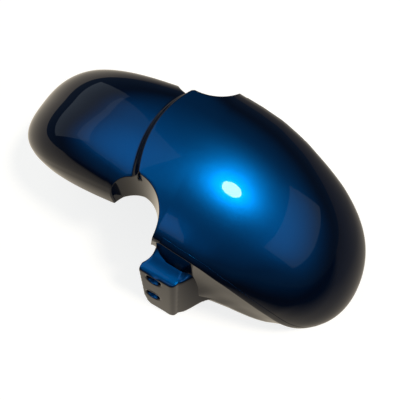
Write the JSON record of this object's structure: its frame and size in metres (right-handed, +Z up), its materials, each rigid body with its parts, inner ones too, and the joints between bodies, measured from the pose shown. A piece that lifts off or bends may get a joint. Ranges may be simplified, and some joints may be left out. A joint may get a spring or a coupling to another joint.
{
  "type": "motorcycle front mudguard",
  "caption": "Moulded front mudguard with a broad front lobe, a stepped narrower rear lobe, fork recesses and side brackets with recessed bolt holes.",
  "frame": {"origin": "middle of the bounding box, on the surface that the bracket feet stand on", "axes": "+X towards the front tip, +Y to the left side of the motorcycle, +Z up through the crown"},
  "size_m": [0.4898, 0.2918, 0.2201],
  "materials": {
    "blue_paint": "clear-coated metallic blue paint on moulded plastic, high gloss"
  },
  "bodies": {
    "root": {"mudguard": "blue_paint"}
  },
  "joints": []
}
